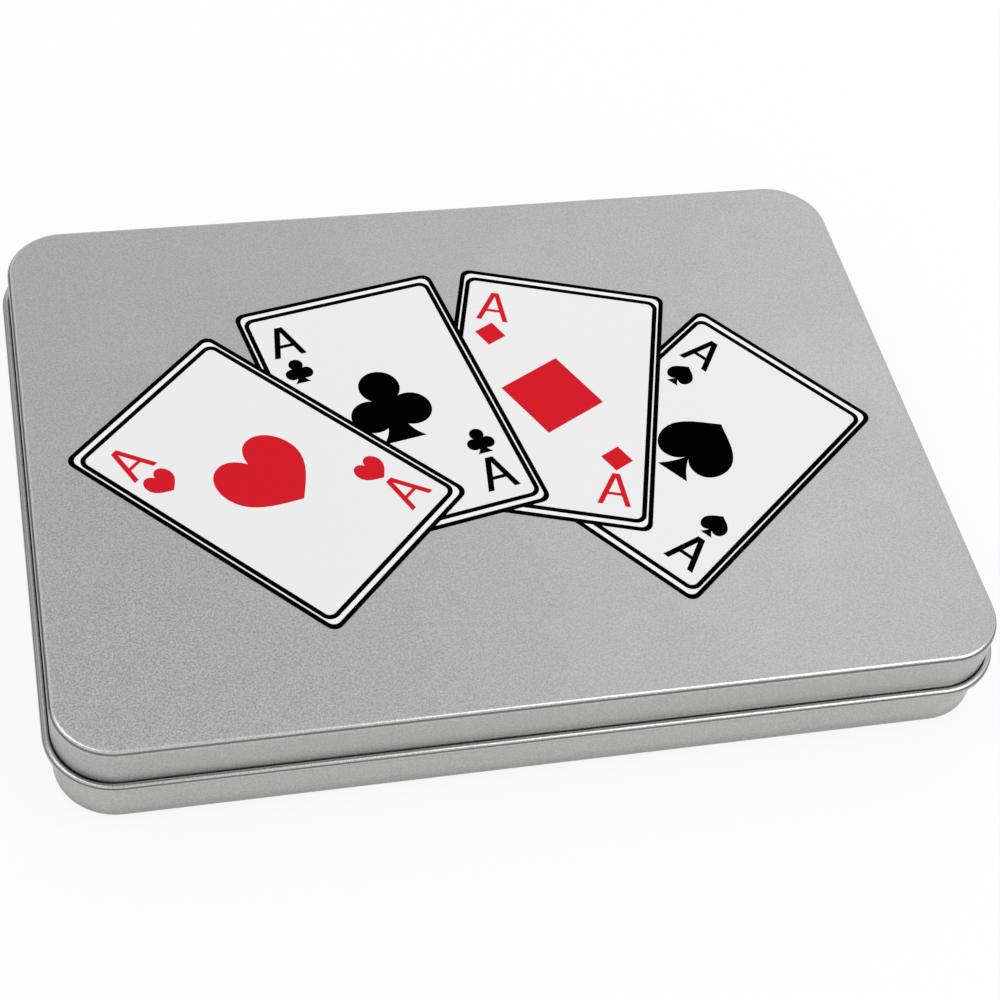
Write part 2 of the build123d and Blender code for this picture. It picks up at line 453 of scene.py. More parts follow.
def bend_group(name):
    """Masks of the sheet's bends, of painted shade along bends, roll, corners and foot, and of the
    panel.

    The normal's Z is 0 on a wall and 1 on a flat that faces up.
    """
    inputs = {"Line Strength": 0.5, "Corner Shade": 0.0}
    group, tree, source, sink = new_group(name, inputs, ("Bend", "Line", "Panel"))
    facing_x, facing_y, facing_z = tree.split(tree.where("Normal"))
    tilt = tree.math("ABSOLUTE", facing_z)
    off_wall = tree.ramp(tilt, 0.06, 0.25)
    off_flat = tree.ramp(tilt, 0.95, 0.998, 1.0, 0.0)
    bend = tree.times(off_wall, off_flat)
    tree.feed(sink["Bend"], bend)
    # painted shade: a dark line half way round each bend, standing in for its dark reflection
    low = tree.ramp(facing_z, 0.46, 0.56)
    high = tree.ramp(facing_z, 0.74, 0.82, 1.0, 0.0)
    line = tree.times(low, high, source["Line Strength"])
    # left and right, painted shade: a dark line along the left top bend, and shade on the roll where it
    # meets the skirt
    x, _, z = tree.split(tree.where())
    top = CAD_BOX[1][2]
    upper = tree.ramp(z, top - 4 * MM, top - 2 * MM)
    across = tree.math("ABSOLUTE", facing_y)
    straight = tree.ramp(across, 0.03, 0.22, 1.0, 0.0)
    crease = tree.times(
        tree.ramp(facing_x, -0.46, -0.58), tree.ramp(facing_x, -0.80, -0.92, 1.0, 0.0)
    )
    outward = tree.times(x, facing_x)
    # painted shade on the inner half of the roll, next to the skirt
    roll_valley_shade = tree.times(bend, tree.ramp(outward, 0.095, 0.03, 0.0, 0.72))
    side = tree.times(tree.ramp(upper, 0.0, 1.0, roll_valley_shade, crease), straight)
    # corners: a pocket of shade on the skirt over the roll
    along = tree.math("ABSOLUTE", facing_x)
    corner = tree.ramp(tree.times(along, across), 0.10, 0.42)
    on_skirt = tree.ramp(z, top - 10.4 * MM, top - 10.1 * MM)
    over_roll = tree.math("POWER", tree.ramp(z, top - 6.6 * MM, top - 9.8 * MM), 2.0)
    wall = tree.times(corner, tree.math("SUBTRACT", 1.0, bend), on_skirt)
    pocket = tree.times(over_roll, wall, source["Corner Shade"])
    # foot: painted shade, darker towards the table
    foot = tree.times(tree.ramp(z, 4.5 * MM, 0.5 * MM, 0.0, 0.34), off_flat)
    for extra in (side, pocket, foot):
        line = tree.math("MAXIMUM", line, extra)
    tree.feed(sink["Line"], line)
    tree.feed(sink["Panel"], tree.ramp(facing_z, 0.97, 0.998))
    return group


GROUPS = {
    "Speckled Coat": speckle_group,
    "Handling Marks": handling_group,
    "Drawn Bends": bend_group,
}


# ---- materials
def tinplate(name, settings, gain, varnished):
    """Satin tin-coated steel, polished on its bends, with painted shade along bends, roll and foot, and
    where asked a painted darker panel on top and painted shade in the corners.
    """
    material, tree, shader = new_material(name)
    # painted light: the colour is scaled up for the base, lighter than the lid
    colour = tuple(min(1.0, c * gain) for c in settings.colour)
    coating = {
        "Grain_Size": settings.grain,
        "Cloud_Contrast": 0.06,
        "Roughness": settings.roughness,
        "Roughness_Spread": 0.08,
    }
    coat = tree.place("Speckled Coat", Colour=colour, Grain_Contrast=0.95, **coating)
    # only the lid gets painted shade in its corners
    bends = tree.place("Drawn Bends", Line_Strength=0.85, Corner_Shade=0.85 if varnished else 0.0)
    tone = coat["Colour"]
    if varnished:
        # painted sheen: the panel's grain shows more near the front left corner, where the light
        # catches it
        from_corner = tree.add("VectorMath", operation="DISTANCE")
        tree.feed(from_corner.inputs[0], tree.where())
        from_corner.inputs[1].default_value = (CAD_BOX[0][0], CAD_BOX[0][1], CAD_BOX[1][2])
        contrast = tree.ramp(from_corner.outputs["Value"], 0.03, 0.11, 1.8, 0.95)
        panel = tree.place(
            "Speckled Coat", Colour=tuple(settings.varnish), Grain_Contrast=contrast, **coating
        )
        # painted shade: the up-facing panel takes the darker panel colour
        tone = tree.mix(bends["Panel"], tone, panel["Colour"])
    marks = tree.place("Handling Marks", Scratches=0.10, Rubbing=0.10)
    # rubs and scratches are wear; the Line mask is painted shade, darkening lines along bends, the
    # roll, corner pockets and the foot
    for mask, gain_there in (
        (marks["Rub Mask"], 1.1), (marks["Scratch Mask"], 1.25), (bends["Line"], 0.22),
    ):
        tone = tree.mix(mask, tone, tuple(min(1.0, c * gain_there) for c in colour))
    smooth = tree.math("MULTIPLY_ADD", marks["Rub Mask"], -0.10, coat["Roughness"])
    polish = tree.ramp(bends["Bend"], 0.0, 1.0, smooth, settings.bend_roughness)
    tree.finish(shader, tone, polish, coat["Height"], settings.grain_depth)
    shader.inputs["Metallic"].default_value = 1.0
    return material


def coated(name, depth, **coating):
    """A material with nothing but the speckled coat, and its shader."""
    material, tree, shader = new_material(name)
    coat = tree.place("Speckled Coat", **coating)
    tree.finish(shader, coat["Colour"], coat["Roughness"], coat["Height"], depth)
    return material, shader


def drawn_wire(name, colour):
    """Bright drawn steel."""
    material, shader = coated(
        name, 0.004 * MM, Colour=tuple(colour), Grain_Size=0.2 * MM, Grain_Contrast=0.15,
        Cloud_Contrast=0.1, Roughness=0.28, Roughness_Spread=0.1,
    )
    shader.inputs["Metallic"].default_value = 1.0
    return material


def formed_plastic(name, colour):
    """Thermoformed sheet with a fine grain, rubbed paler in patches."""
    material, tree, shader = new_material(name)
    coat = tree.place(
        "Speckled Coat", Colour=tuple(colour), Grain_Size=0.5 * MM, Grain_Contrast=0.5,
        Cloud_Contrast=0.3, Roughness=0.52, Roughness_Spread=0.14,
    )
    marks = tree.place("Handling Marks", Scratches=0.35, Rubbing=0.3)
    worn = tree.mix(marks["Rub Mask"], coat["Colour"], (0.034, 0.034, 0.036))
    scratched = tree.mix(marks["Scratch Mask"], worn, (0.07, 0.07, 0.072))
    tree.finish(shader, scratched, coat["Roughness"], coat["Height"], 0.02 * MM)
    return material


def ink(name, colour, roughness, contrast, gloss=0.015):
    """A printed film with a faint grain."""
    material, shader = coated(
        name, 0.006 * MM, Colour=tuple(colour), Grain_Size=0.3 * MM, Grain_Contrast=contrast,
        Cloud_Contrast=contrast * 0.5, Roughness=roughness, Roughness_Spread=0.08,
    )
    shader.inputs["Specular IOR Level"].default_value = gloss
    return material


def card_edge(name):
    """Cut edges of the stack: white board with fine fibre and a little grime."""
    material, tree, shader = new_material(name)
    where = tree.where()
    fibre = tree.noise(where, 1400.0, 3.0, 0.6)
    board = tree.mix(fibre, (0.74, 0.72, 0.68), (0.90, 0.89, 0.86))
    soil = tree.ramp(tree.noise(where, 60.0, 3.0, 0.6), 0.5, 0.75, 0.0, 0.35)
    soiled = tree.mix(soil, board, (0.62, 0.58, 0.52))
    tree.finish(shader, soiled, 0.8, fibre, 0.01 * MM, 0.8)
    return material


def card_back(name, colour, centre, half_long, half_short):
    """Traditional lattice back in one colour on white, with a plain white margin."""
    material, tree, shader = new_material(name)
    where = tree.where()
    x, y, _ = tree.split(where)
    across = tree.math("SUBTRACT", x, centre.x)
    along = tree.math("SUBTRACT", y, centre.y)
    inset = tree.math(
        "MINIMUM",
        tree.math("SUBTRACT", half_long, tree.math("ABSOLUTE", across)),
        tree.math("SUBTRACT", half_short, tree.math("ABSOLUTE", along)),
    )
    panel, frame_in, frame_out = (
        tree.ramp(inset, near * MM, far * MM) for near, far in ((5.0, 5.1), (6.1, 6.2), (6.9, 7.0))
    )
    half_pitch = 1.5 * MM
    strips, squares = [], []
    for slope in (tree.math("ADD", across, along), tree.math("SUBTRACT", across, along)):
        wave = tree.math("PINGPONG", tree.math("ADD", slope, 1.0), half_pitch)
        strips.append(tree.ramp(wave, 0.22 * MM, 0.30 * MM, 1.0, 0.0))
        squares.append(tree.math("POWER", tree.math("SUBTRACT", half_pitch, wave), 2.0))
    reach = tree.math("SQRT", tree.math("ADD", *squares))
    dot = tree.ramp(reach, 0.36 * MM, 0.44 * MM, 1.0, 0.0)
    white_lines = tree.math("MAXIMUM", tree.math("MAXIMUM", *strips), dot)
    inside_frame = tree.times(white_lines, frame_out)
    rule = tree.math("SUBTRACT", frame_in, frame_out)
    white = tree.math("MAXIMUM", inside_frame, rule)
    paper = tree.math("MAXIMUM", white, tree.math("SUBTRACT", 1.0, panel))
    fibre = tree.noise(where, 900.0, 3.0, 0.6)
    stock = tree.mix(fibre, (0.80, 0.79, 0.77), (0.90, 0.89, 0.87))
    tint = tree.mix(
        fibre, tuple(c * 0.85 for c in colour), tuple(min(1.0, c * 1.15) for c in colour)
    )
    linen = tree.noise(where, 1600.0, 1.0, 0.5)
    sheen = tree.ramp(linen, 0.3, 0.7, 0.30, 0.46)
    tree.finish(shader, tree.mix(paper, tint, stock), sheen, linen, 0.01 * MM, 0.7)
    shader.inputs["Specular IOR Level"].default_value = 0.3
    return material


# ---- mesh helpers
def new_piece(name, vertices, faces, materials, smooth=False):
    mesh = bpy.data.meshes.new(name)
    mesh.from_pydata([tuple(v) for v in vertices], [], faces)
    mesh.validate()
    for material in materials:
        mesh.materials.append(material)
    if smooth:
        mesh.shade_smooth()
    piece = bpy.data.objects.new(name, mesh)
    bpy.context.collection.objects.link(piece)
    return piece


def rounded_rectangle(half_width, half_height, radius, steps=7):
    """Outline points, anticlockwise, centred on the origin."""
    points = []
    for turn, (sx, sy) in enumerate(((1, 1), (-1, 1), (-1, -1), (1, -1))):
        centre = (sx * (half_width - radius), sy * (half_height - radius))
        for step in range(steps + 1):
            angle = (turn + step / steps) * math.pi / 2
            points.append((centre[0] + radius * math.cos(angle), centre[1] + radius * math.sin(angle)))
    return points


def mirrored(right_side):
    """Closes an outline that runs down the right side with its mirror image."""
    left = [(-x, y) for x, y in reversed(right_side) if abs(x) > 1e-9]
    return right_side + left


def curved(start, *curves, steps=10):
    """A closed outline: cubic curves down its right side, then their mirror image.

    Each curve is given by its two pulls and its end.
    """
    points = [start]
    for pull_a, pull_b, end in curves:
        begin = points[-1]
        for step in range(1, steps + 1):
            t = step / steps
            s = 1 - t
            points.append(
                tuple(
                    s ** 3 * a + 3 * s * s * t * b + 3 * s * t * t * c + t ** 3 * d
                    for a, b, c, d in zip(begin, pull_a, pull_b, end)
                )
            )
    return mirrored(points)


def disc(centre, radius, steps=28):
    """Outline points of a round lobe."""
    points = []
    for step in range(steps):
        angle = math.tau * step / steps
        points.append((centre[0] + radius * math.cos(angle), centre[1] + radius * math.sin(angle)))
    return points


# ---- drawn shells
LUG_ROOM = 1.0 * MM     # how much wider the slits are than the lugs, in all
LEAD = 0.3 * MM         # short flat beside a bend, which keeps its shading clean
ROLL_STEPS = 30
BEND_STEPS = 10
RIM_STEPS = 22
RIM_TURN = math.radians(245)


class ShellSizes:
    """The shells' settings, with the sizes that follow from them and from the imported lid."""

    def __init__(self, settings):
        for name in own_settings(settings):
            setattr(self, name, getattr(settings, name))
        low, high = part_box("lid_shell")
        self.curl_out = self.curl - self.sheet
        reach = self.curl_out + self.curl
        self.half_width = (high[0] - low[0]) / 2 - reach
        self.half_depth = -low[1] - reach
        self.height = high[2]
        self.hinge_y = self.half_depth + self.curl_out
        self.hinge_z = self.height - self.curl_drop
        self.shoulder = self.hinge_z - self.curl - self.seat_gap
        self.rim_z = self.height - self.sheet - self.seat_gap - self.rim
        self.hinge_x = self.hinge_spread * 2 * self.half_width
        self.notch = self.lug_width + LUG_ROOM

    def rail(self):
        """Points and outward normals round the skirt's outer face, anticlockwise."""
        stations = []
        half_w, half_d, r = self.half_width, self.half_depth, self.corner
        slits = sorted(
            (s * self.hinge_x + e * self.notch / 2 for s in (-1, 1) for e in (-1, 1)), reverse=True
        )
        for turn, (sx, sy) in enumerate(((1, 1), (-1, 1), (-1, -1), (1, -1))):
            for step in range(self.corner_steps + 1):
                angle = (turn + step / self.corner_steps) * math.pi / 2
                nx, ny = math.cos(angle), math.sin(angle)
                stations.append((sx * (half_w - r) + r * nx, sy * (half_d - r) + r * ny, nx, ny))
            if turn == 0:
                stations += [(x, half_d, 0.0, 1.0) for x in slits]
        return stations

    def over_hinge(self, start, end):
        """Whether the run between two stations of the back wall lies in a hinge's slit."""
        middle = (start[0] + end[0]) / 2
        square_back = 0.999
        at_back = start[3] > square_back and end[3] > square_back
        return at_back and abs(abs(middle) - self.hinge_x) < self.notch / 2


def round_sheet(centre, front_radius, rear_radius, start, turn, steps):
    """Stations of a bend as (front, rear) pairs; either radius may be the outer one."""
    pairs = []
    for step in range(steps + 1):
        angle = start + turn * step / steps
        c, s = math.cos(angle), math.sin(angle)
        pairs.append(
            (
                (centre[0] + front_radius * c, centre[1] + front_radius * s),
                (centre[0] + rear_radius * c, centre[1] + rear_radius * s),
            )
        )
    return pairs


def sheet_mesh(stations, place, pairs, closed, skip=None):
    """A watertight sheet: pairs of (front, rear) section points placed at each station."""
    count, depth = len(stations), len(pairs)
    vertices = []
    for side in (0, 1):
        for station in stations:
            vertices += [place(station, *pair[side]) for pair in pairs]
    rear = count * depth

    def at(i, j, side=0):
        return side * rear + (i % count) * depth + j

    runs = count if closed else count - 1
    solid = {
        (i, j)
        for i in range(runs)
        for j in range(depth - 1)
        if not (skip and skip(stations[i], stations[(i + 1) % count], j))
    }
    faces = []
    for i, j in solid:
        corners = ((i, j), (i, j + 1), (i + 1, j + 1), (i + 1, j))
        faces.append(tuple(at(*c) for c in corners))
        faces.append(tuple(at(*c, 1) for c in reversed(corners)))
        beyond = ((i - 1, j), (i, j + 1), (i + 1, j), (i, j - 1))
        for side, (ni, nj) in enumerate(beyond):
            neighbour = (ni % count if closed else ni, nj)
            if neighbour in solid or (closed and nj < 0):
                continue
            a, b = corners[side], corners[(side + 1) % 4]
            faces.append((at(*b), at(*a), at(*a, 1), at(*b, 1)))
    if closed:
        faces.append(tuple(at(i, 0) for i in range(count)))
        faces.append(tuple(at(i, 0, 1) for i in reversed(range(count))))
    return vertices, faces


def on_rail(station, out, z):
    """The point that lies out from the rail's station at height z."""
    x, y, nx, ny = station
    return (x + nx * out, y + ny * out, z)


def lid_sheet(tin):
    """Panel, edge, skirt and open roll, with a notch in the back roll for each lug."""
    s, e = tin.sheet, tin.edge
    top, panel = tin.height, tin.height - tin.panel_sink
    edge_z = top - e
    flat, sink_run, crown = 5.0 * MM, 1.5 * MM, 0.002 * MM
    pairs = [
        ((-inset, level), (-inset, level - s))
        for inset, level in ((flat, panel), (e + sink_run, panel), (e + LEAD, top - crown))
    ]
    pairs += round_sheet((-e, edge_z), e, e - s, math.pi / 2, -math.pi / 2, BEND_STEPS)
    notch_top = tin.hinge_z + 1.7 * MM
    pairs += [((0, level), (-s, level)) for level in (edge_z - LEAD, notch_top, tin.hinge_z + LEAD)]
    notch_from = len(pairs) - 2
    pairs += round_sheet(
        (tin.curl_out, tin.hinge_z), tin.curl_out, tin.curl, math.pi, tin.curl_turn, ROLL_STEPS
    )

    def skip(start, end, j):
        return j >= notch_from and tin.over_hinge(start, end)

    return [sheet_mesh(tin.rail(), on_rail, pairs, True, skip)]


def base_sheet(tin):
    """Floor, wall, neck and rolled rim, with a window and a lug at each hinge."""
    s, step = tin.sheet, tin.neck_step
    flat, ramp = 2.0 * MM, 0.8 * MM
    inset = tin.ring + ramp + tin.foot
    soft = s * math.tan(math.pi / 8)
    low_z, high_z = tin.shoulder - 0.8 * MM, tin.shoulder + 6.0 * MM
    rise = tin.floor_rise
    pairs = [
        ((-inset - flat, rise + s), (-inset - flat, rise)),
        ((-inset, rise + s), (-inset, rise)),
        ((-inset + ramp, s), (-inset + ramp, 0)),
        ((-tin.foot - LEAD, s), (-tin.foot - LEAD, 0)),
    ]
    pairs += round_sheet(
        (-tin.foot, tin.foot), tin.foot - s, tin.foot, -math.pi / 2, math.pi / 2, BEND_STEPS
    )
    pairs.append(((-s, tin.foot + LEAD), (0, tin.foot + LEAD)))
    window_from = len(pairs)
    pairs += [
        ((-s, low_z), (0, low_z)),
        ((-s, tin.shoulder - step - soft), (0, tin.shoulder - step)),
        ((-step - s, tin.shoulder - soft), (-step, tin.shoulder)),
        ((-step - s, high_z), (-step, high_z)),
    ]
    window_to = len(pairs) - 1
    pairs.append(((-step - s, tin.rim_z - LEAD), (-step, tin.rim_z - LEAD)))
    pairs += round_sheet((-step - tin.rim, tin.rim_z), tin.rim - s, tin.rim, 0, RIM_TURN, RIM_STEPS)

    def skip(start, end, j):
        return window_from <= j < window_to and tin.over_hinge(start, end)

    shells = [sheet_mesh(tin.rail(), on_rail, pairs, True, skip)]
    play, overlap, tuck = 0.05 * MM, 0.1 * MM, 0.02 * MM
    wrap = tin.curl_out + play
    foot_z = low_z - overlap
    back = tin.half_depth
    for lug_x in (-tin.hinge_x, tin.hinge_x):
        sides = [lug_x + tin.lug_width / 2, lug_x - tin.lug_width / 2]
        lug = [((back - s + tuck, foot_z), (back - tuck, foot_z))]
        lug += round_sheet(
            (tin.hinge_y, tin.hinge_z), wrap + s, wrap, math.pi, -tin.lug_turn, ROLL_STEPS
        )
        shells.append(sheet_mesh(sides, lambda x, y, level: (x, y, level), lug, False))
    return shells


def build_shell(name, shells, materials):
    """One smooth piece of several sheets, with creases where they bend sharply."""
    vertices, faces = [], []
    for points, polygons in shells:
        first = len(vertices)
        vertices += points
        faces += [tuple(first + i for i in polygon) for polygon in polygons]
    piece = new_piece(name, vertices, faces, materials, smooth=True)
    crease = math.radians(38)
    piece.data.set_sharp_from_angle(angle=crease)
    return piece


# ---- pips, in mm about their middle
def heart_pip():
    return [
        curved(
            (0, 5.3),
            ((1.0, 7.9), (2.6, 9.7), (4.9, 9.7)),
            ((8.2, 9.7), (10.5, 6.4), (10.5, 2.4)),
            ((10.5, -3.3), (5.4, -6.3), (0, -9.7)),
        )
    ]


def diamond_pip():
    return [[(0, 11.5), (-11.55, 0), (0, -11.5), (11.55, 0)]]


def spade_pip():
    blade = curved(
        (0, 9.65),
        ((3.0, 7.3), (8.85, 4.5), (8.85, -0.5)),
        ((8.85, -3.9), (6.8, -6.25), (4.45, -6.25)),
        ((2.4, -6.25), (0.8, -5.1), (0, -3.0)),
    )
    stem = curved((0, -3.0), ((0.7, -5.4), (2.1, -7.7), (3.85, -9.65)))
    return [blade, stem]


def club_pip():
    radius = 4.65
    stem = curved((1.9, -3.0), ((1.9, -6.4), (2.9, -8.4), (4.95, -10.4)))
    lobes = [disc(centre, radius) for centre in ((0, 5.85), (-radius, -2.1), (radius, -2.1))]
    middle = [(-2.4, -4.0), (2.4, -4.0), (2.4, 3.4), (-2.4, 3.4)]
    return [*lobes, middle, stem]


def letter_a():
    """A plain capital A, its foot on the origin, and its counter, in mm."""
    height, half_top, half_foot = 9.1, 0.85, 3.74
    lean = (half_foot - half_top) / height
    inner = 2.48
    bar_low, bar_high = 2.85, 3.65
    outer = mirrored(
        [(half_top, height), (half_foot, 0), (inner, 0), (inner - lean * bar_low, bar_low)]
    )
    counter = [
        (0, inner / lean),
        (-(inner - lean * bar_high), bar_high),
        (inner - lean * bar_high, bar_high),
    ]
    return outer, counter


def spread_out(outline, reach):
    """The outline moved outwards by reach on every side, or inwards where reach is below zero."""
    least_gap, mitre_limit = 1e-6, 0.1
    ring = []
    for i, point in enumerate(outline):
        if (Vector(point) - Vector(outline[i - 1])).length > least_gap:
            ring.append(Vector(point))
    after = ring[1:] + ring[:1]
    area = sum(a.x * b.y - b.x * a.y for a, b in zip(ring, after))
    side = reach if area > 0 else -reach
    moved = []
    for last, here, following in zip(ring[-1:] + ring[:-1], ring, after):
        first, second = (here - last).normalized(), (following - here).normalized()
        normal = Vector((first.y + second.y, -first.x - second.x)) / 2
        moved.append(tuple(here + normal * (side / max(normal.length_squared, mitre_limit))))
    return moved


# a printed card's rings, each printed over the one before: ink, inset at the sides and at the ends,
# corner radius, in mm
RINGS = (
    ("black", 0.0, 0.0, 2.2),
    ("border", 0.95, 0.95, 1.7),
    ("black", 1.42, 2.12, 2.35),
    ("face", 2.38, 3.08, 1.5),
)
# its corner marks, in mm: inset from the side, then the letter's foot and the small pip's middle
# from the upper and from the lower end
MARK_INSET = 8.6
UPPER_MARK = (15.5, 19.8)
LOWER_MARK = (6.2, 19.7)
BIG_PIP_DROP = 0.1


def ace(suit_outlines, suit_ink, small, pull):
    """One ace as (ink, outline) pairs in the order they are printed, in mm."""
    settings = bpy.context.scene.card_tin_print
    half_w = settings.card_width / MM / 2
    half_h = settings.card_height / MM / 2
    wide = settings.spread / MM
    letter_run = wide if suit_ink == "black" else 0.0
    layers = []
    for ring_ink, at_sides, at_ends, radius in RINGS:
        ring = rounded_rectangle(half_w - at_sides, half_h - at_ends, radius)
        layers.append((ring_ink, spread_out(ring, wide if ring_ink == "black" else -wide)))
    for outline in suit_outlines:
        layers.append((suit_ink, spread_out([(x, y - BIG_PIP_DROP) for x, y in outline], wide)))
    outer, counter = letter_a()
    side = half_w - MARK_INSET
    for sign, foot, pip_y in (
        (-1, half_h - UPPER_MARK[0], half_h - UPPER_MARK[1]),
        (1, -half_h + LOWER_MARK[0], -half_h + LOWER_MARK[1]),
    ):
        for letter_ink, outline, run in ((suit_ink, outer, letter_run), ("face", counter, -letter_run)):
            placed = [(x + sign * side, y + foot) for x, y in outline]
            layers.append((letter_ink, spread_out(placed, run)))
        centre = pip_y + sign * pull
        for outline in suit_outlines:
            placed = [(x * small + sign * side, y * small + centre) for x, y in outline]
            layers.append((suit_ink, spread_out(placed, wide)))
    return layers


# the printed cards, the last on top: suit, ink, scale of the small pips, how far they are drawn in
# towards the card's middle in mm, the card's middle in mm, turn in degrees
FAN = (
    (spade_pip, "black", 0.345, 0.65, (47.30, -9.52), -50.20),
    (diamond_pip, "red", 0.303, 0.0, (18.20, 9.74), -16.84),
    (club_pip, "black", 0.338, 0.65, (-19.53, 10.50), 11.16),
    (heart_pip, "red", 0.334, 0.0, (-49.11, -6.76), 44.43),
)


WELD = 1e-5             # points of the print that lie closer than this, in mm, become one
INK_SINK = 0.005 * MM   # how far each film reaches down into the panel


def inside(points, polygon):
    """Which of the points lie in the polygon, by crossing count."""
    x, y = points[:, 0], points[:, 1]
    hit = np.zeros(len(points), bool)
    for (ax, ay), (bx, by) in zip(polygon, polygon[1:] + polygon[:1]):
        if ay == by:
            continue
        crosses = (ay > y) != (by > y)
        hit ^= crosses & (x < (bx - ax) * (y - ay) / (by - ay) + ax)
    return hit


def printed_regions():
    """Splits the fan into triangles and says which ink shows in each."""
    layers = []
    for pip, pip_ink, small, pull, (cx, cy), turn in FAN:
        c, s = math.cos(math.radians(turn)), math.sin(math.radians(turn))
        for layer_ink, outline in ace(pip(), pip_ink, small, pull):
            layers.append((layer_ink, [(cx + c * x - s * y, cy + s * x + c * y) for x, y in outline]))
    points, edges = [], []
    for _, outline in layers:
        first = len(points)
        points += [Vector(p) for p in outline]
        edges += [(first + i, first + (i + 1) % len(outline)) for i in range(len(outline))]
    flat, _, triangles, _, _, _ = delaunay_2d_cdt(points, edges, [], 0, WELD)
    spots = np.array([[p.x, p.y] for p in flat])
    corners = np.array([t for t in triangles if len(t) == 3])
    middles = spots[corners].mean(axis=1)
    shown = np.full(len(corners), "", dtype=object)
    for layer_ink, outline in layers:
        shown[inside(middles, outline)] = layer_ink
    return spots, corners, shown


def film_mesh(spots, triangles, base, thickness):
    """A closed film over the given triangles, in metres."""
    used = sorted({int(i) for t in triangles for i in t})
    place = {old: new for new, old in enumerate(used)}
    count = len(used)
    lower = [(spots[i][0] * MM, spots[i][1] * MM, base) for i in used]
    upper = [(x, y, z + thickness) for x, y, z in lower]
    faces, sides = [], {}
    for t in triangles:
        a, b, c = (place[int(i)] for i in t)
        pa, pb, pc = lower[a], lower[b], lower[c]
        if (pb[0] - pa[0]) * (pc[1] - pa[1]) - (pb[1] - pa[1]) * (pc[0] - pa[0]) < 0:
            b, c = c, b
        faces.append((a + count, b + count, c + count))
        faces.append((c, b, a))
        sides.update(dict.fromkeys(((a, b), (b, c), (c, a))))
    for a, b in sides:
        if (b, a) not in sides:
            faces.append((a, b, b + count, a + count))
    return lower + upper, faces


# ---- operators
CARD_SHARE = 0.94       # of each card's height in the stack, the rest is the gap over it
# soft boxes, all aimed at the middle of the tin: name, place, size in metres, power in watts
SOFTBOXES = (
    ("overhead", (0.55, -0.20, 0.95), (0.50, 0.90), 2.75),
    ("right rear", (0.55, 0.65, 0.90), (0.50, 0.60), 0.48),
    ("left", (-0.45, 0.16, 0.90), (0.30, 0.60), 1.0),
    ("far rear", (0.35, 1.00, 0.88), (0.90, 0.50), 0.36),
)
TIN_MIDDLE = Vector((0, 0, 0.02))
FLOOR_REACH = 4         # from the middle to each side of the floor, in metres
LOOKED_AT = (-0.011054, -0.017932)    # the point of the lid that the camera is aimed at


class CARDTIN_OT_shells(bpy.types.Operator):
    """Draw and roll the tinplate lid and base, and finish the hinge wires"""

    bl_idname = "card_tin.shells"
    bl_label = "Form Shells"

    def execute(self, context):
        settings = context.scene.card_tin_metal
        sizes = ShellSizes(context.scene.card_tin_shells)
        varnished = tinplate("lid tinplate", settings, 1.0, True)
        lid = build_shell("lid_drawn", lid_sheet(sizes), (varnished,))
        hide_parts("lid_shell")
        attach(lid, "lid")
        plain = tinplate("base tinplate", settings, settings.base_gain, False)
        base = build_shell("base_drawn", base_sheet(sizes), (plain,))
        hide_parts("base_shell")
        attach(base, "base")
        wire = drawn_wire("hinge wire steel", settings.wire)
        for node in ("hinge_wire_left", "hinge_wire_right"):
            dress(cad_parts[node], wire)
        return {"FINISHED"}


class CARDTIN_OT_tray(bpy.types.Operator):
    """Give the formed tray its black plastic finish"""

    bl_idname = "card_tin.tray"
    bl_label = "Finish Tray"

    def execute(self, context):
        plastic = formed_plastic("tray plastic", context.scene.card_tin_tray.colour)
        dress(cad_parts["insert_tray"], plastic)
        return {"FINISHED"}


class CARDTIN_OT_decks(bpy.types.Operator):
    """Stack the four decks card by card in their wells"""

    bl_idname = "card_tin.decks"
    bl_label = "Stack Decks"

    def execute(self, context):
        settings = context.scene.card_tin_decks
        shuffle = random.Random(settings.seed)
        edge = card_edge("card edge")
        red, blue = settings.red_back, settings.blue_back
        for node, colour in zip(DECKS, (red, blue, blue, red)):
            low, high = (Vector(v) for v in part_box(node))
            centre = (low + high) / 2
            half_long = (high.x - low.x) / 2 - settings.scatter
            half_short = (high.y - low.y) / 2 - settings.scatter
            back = card_back(node + " back", colour, centre, half_long, half_short)
            vertices, faces, slots = [], [], []
            pitch = (high.z - low.z) / settings.cards
            outline = rounded_rectangle(half_long, half_short, settings.corner, 5)
            count = len(outline)
            for number in range(settings.cards):
                dx = shuffle.uniform(-1, 1) * settings.scatter
                dy = shuffle.uniform(-1, 1) * settings.scatter
                if number == settings.cards - 1:
                    dx = dy = 0.0
                first = len(vertices)
                z0 = low.z + number * pitch
                for z in (z0, z0 + CARD_SHARE * pitch):
                    vertices += [(centre.x + x + dx, centre.y + y + dy, z) for x, y in outline]
                faces.append(tuple(first + i for i in reversed(range(count))))
                faces.append(tuple(first + count + i for i in range(count)))
                slots += [1, 0]
                for i in range(count):
                    j = (i + 1) % count
                    faces.append((first + i, first + j, first + count + j, first + count + i))
                    slots.append(1)
            piece = new_piece(node + "_cards", vertices, faces, (back, edge))
            piece.data.polygons.foreach_set("material_index", slots)
            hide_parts(node)
            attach(piece, "base")
        return {"FINISHED"}


